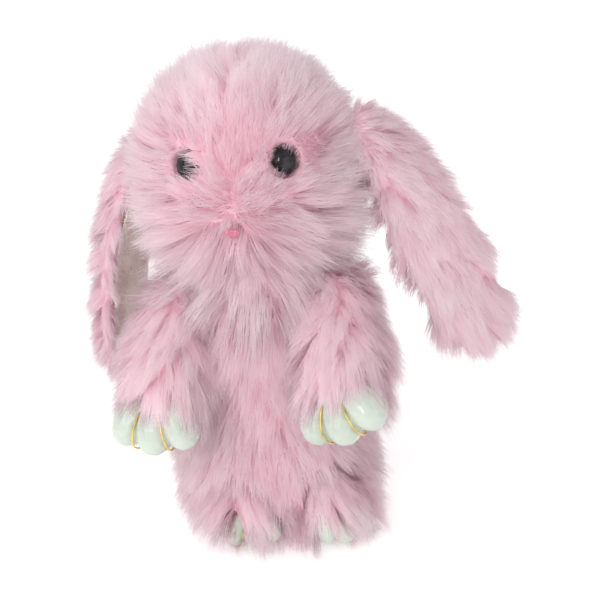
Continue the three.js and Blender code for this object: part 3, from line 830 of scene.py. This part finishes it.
def make_neck():
    skin = smooth_copy("neck_filling", "neck_skin", 1.2 * MM, 4, 0.3 * MM)
    place(skin, "neck", "fibre_filling", BACKING, "neck_filling")
    middle = box_centre("neck_filling")
    coat("neck", "neck", Skin(skin), middle, 16000, 23 * MM, body_comb, 13, rise=0.1, lie=0.8)


# In mm: where the pile is longest, from the middle of a limb, and where it is cut short, from the
# middle of a paw. A limb that isn't named has its longest pile at its middle and no short patch.
FRINGE = {"arm_left": (14, 0, 0), "arm_right": (12, -4, -10)}
BARE = {"arm_right": (-12, -6, 9)}


def middle_of(start, end):
    return (start + end) / 2


def make_limb(name, joint, end_node, count, length, seed, hard):
    start, end = anchor(joint), box_centre(end_node)
    skin = smooth_copy(f"{name}_fur", f"{name}_skin", 1.0 * MM, 5, 0.4 * MM)
    place(skin, name, "pink_fur", BACKING, f"{name}_fur")
    comb = line_comb((start, end))
    middle = middle_of(start, end)
    fringe = middle_of(start, end) + np.array(FRINGE.get(name, (0, 0, 0))) * MM
    bare = end + np.array(BARE.get(name, (0, 0, -100))) * MM

    def reach(root):
        return 1 + 0.25 * near(root, end, 16 * MM) + 0.6 * near(root, fringe, 10 * MM)

    top = start + np.array((0, 4, 8)) * MM

    def trim(root):
        return 1 - 0.65 * near(root, bare, 12 * MM) - 0.35 * near(root, top, 10 * MM)

    look = {"off": hard, "reach": reach, "trim": trim, "rise": 0.6, "lie": 1.25}
    coat(name, name, Skin(skin), middle, count, length, comb, seed, **look)


# Spots along the ears, in mm from the hinge, where the pile is longer.
EAR_FRINGE = {"left": ((5, 0, -24), (16, 0, -46), (27, 0, -66)), "right": ()}

# How much shorter the pile is at the lining's edge. The right ear shows its lining.
LINING_TRIM = {"left": 0.25, "right": 0.7}


def gap_to(obj):
    """A rule that gives each root's distance from an object's surface."""
    mesh = obj.data
    mesh.calc_loop_triangles()
    corners = read(mesh.loop_triangles, "vertices").astype(int)
    tree = BVHTree.FromPolygons(read(mesh.vertices, "co").tolist(), corners.tolist())
    return lambda root: np.array([tree.find_nearest(Vector(spot))[3] for spot in root])


def make_ear(side, seed):
    name = f"ear_{side}"
    hinge = anchor(f"{name}_swing")
    line = [hinge + np.array((x, 0, z)) * MM for x, z in EAR_LINES[side]]
    skin = smooth_copy(f"{name}_fur", f"{name}_skin", 1.0 * MM, 5, 0.4 * MM)
    place(skin, name, "pink_fur", BACKING, f"{name}_fur")
    lining = smooth_copy(f"{name}_lining", f"{name}_cloth", 0.3 * MM, 8)
    place(lining, name, "cream_cloth", LINING, f"{name}_lining")
    middle = box_centre(f"{name}_fur")

    gap = gap_to(lining)

    def trim(root):
        edge = 1 - LINING_TRIM[side] * np.exp(-((gap(root) / (3 * MM)) ** 2))
        return edge * (1 - 0.45 * near(root, hinge, 14 * MM))

    def reach(root):
        spots = [hinge + np.array(spot) * MM for spot in EAR_FRINGE[side]]
        return 1 + sum(0.7 * near(root, spot, 9 * MM) for spot in spots)

    look = {"trim": trim, "reach": reach, "rise": 0.5, "lie": 1.25}
    coat(name, name, Skin(skin), middle, 36000, 10 * MM, line_comb(line), seed, **look)


def make_tail():
    skin = smooth_copy("tail", "tail_skin", 0.8 * MM, 4, 0.4 * MM)
    place(skin, "torso", "pink_fur", BACKING, "tail")
    middle = box_centre("tail")

    def comb(root, normal):
        return np.array((0, 0.4, -1.0)) + away_from(root, middle)

    coat("tail", "torso", Skin(skin), middle, 6000, 12 * MM, comb, 31, rise=0.4, lie=1.2)


# ---------------------------------------------------------------- hard parts


def make_castings():
    """The paws and feet, with the gold lines in their grooves. Returns them by name."""
    made = {}
    for limb, kind in (("arm", "paw"), ("leg", "foot")):
        for side in ("left", "right"):
            node, body = f"{kind}_{side}", f"{limb}_{side}"
            piece = smooth_copy(node, f"{node}_casting", 0.45 * MM, 4)
            made[node] = place(piece, body, "white_plastic", CASTING, node)
            for which in ("inner", "outer"):
                line = f"{node}_{which}_line"
                thread = smooth_copy(line, f"{line}_paint", 0.18 * MM, 3)
                place(thread, body, "gold_line", GOLD_LINE, line)
    return made


def make_face():
    for side in ("left", "right"):
        node = f"eye_{side}"
        dome = smooth_copy(node, f"{node}_dome", 0.22 * MM, 4)
        place(dome, "head", "black_plastic", EYE, node)
    nose = smooth_copy("nose", "nose_pad", 0.25 * MM, 4)
    place(nose, "head", "nose_thread", NOSE_SATIN, "nose")
    mouth = smooth_copy("mouth_stitch", "mouth_thread", 0.2 * MM, 2)
    place(mouth, "head", "nose_thread", NOSE_SATIN, "mouth_stitch")


def make_hardware():
    bodies = {
        "jump_ring": "jump_ring",
        "chain_link_1": "link_1",
        "chain_link_2": "link_2",
        "chain_link_3": "link_3",
        "split_ring": "split_ring",
        "swivel_eye": "swivel",
        "clasp_body": "clasp",
        "clasp_trigger": "trigger",
    }
    for node, body in bodies.items():
        piece = smooth_copy(node, f"{node}_metal", 0.22 * MM, 3)
        place(piece, body, "gold_metal", GOLD, node)
    strap = smooth_copy("hanging_strap", "hanging_strap_tape", 0.4 * MM, 2)
    place(strap, "head", "pink_webbing", WEBBING, "hanging_strap")


def finish_hidden_nodes():
    """Materials for the CAD nodes that stay: stuffing, washers, pin and spring."""
    stuffing = fibre_material()
    washer = plain_plastic_material("washer_white", (0.7, 0.7, 0.7), (0.85, 0.85, 0.85), 0.45)
    wire = spring_material()
    for name, node in frame["nodes"].items():
        if name.endswith("_filling"):
            finish = stuffing
        elif name.startswith("eye_washer"):
            finish = washer
        elif name in ("clasp_pin", "clasp_spring"):
            finish = wire
        else:
            continue
        node.data.materials.clear()
        node.data.materials.append(finish)


PILE = pile_material()
BACKING = backing_material()
CASTING = casting_material()
GOLD_LINE = gold_line_material()
GOLD = gold_metal_material()
EYE = eye_material()
NOSE_SATIN = nose_material()
LINING = lining_material()
WEBBING = webbing_material()

make_camera()
make_studio()
castings = make_castings()
paws = [castings["paw_left"], castings["paw_right"]]
feet = [castings["foot_left"], castings["foot_right"]]
make_face()
make_head()
make_neck()
make_body(feet)
make_limb("arm_left", "arm_left_swing", "paw_left", 28000, 14 * MM, 21, paws[:1])
make_limb("arm_right", "arm_right_swing", "paw_right", 28000, 14 * MM, 22, paws[1:])
make_limb("leg_left", "leg_left_swing", "foot_left", 10000, 14 * MM, 23, feet[:1])
make_limb("leg_right", "leg_right_swing", "foot_right", 10000, 14 * MM, 24, feet[1:])
make_ear("left", 25)
make_ear("right", 26)
make_tail()
make_hardware()
finish_hidden_nodes()
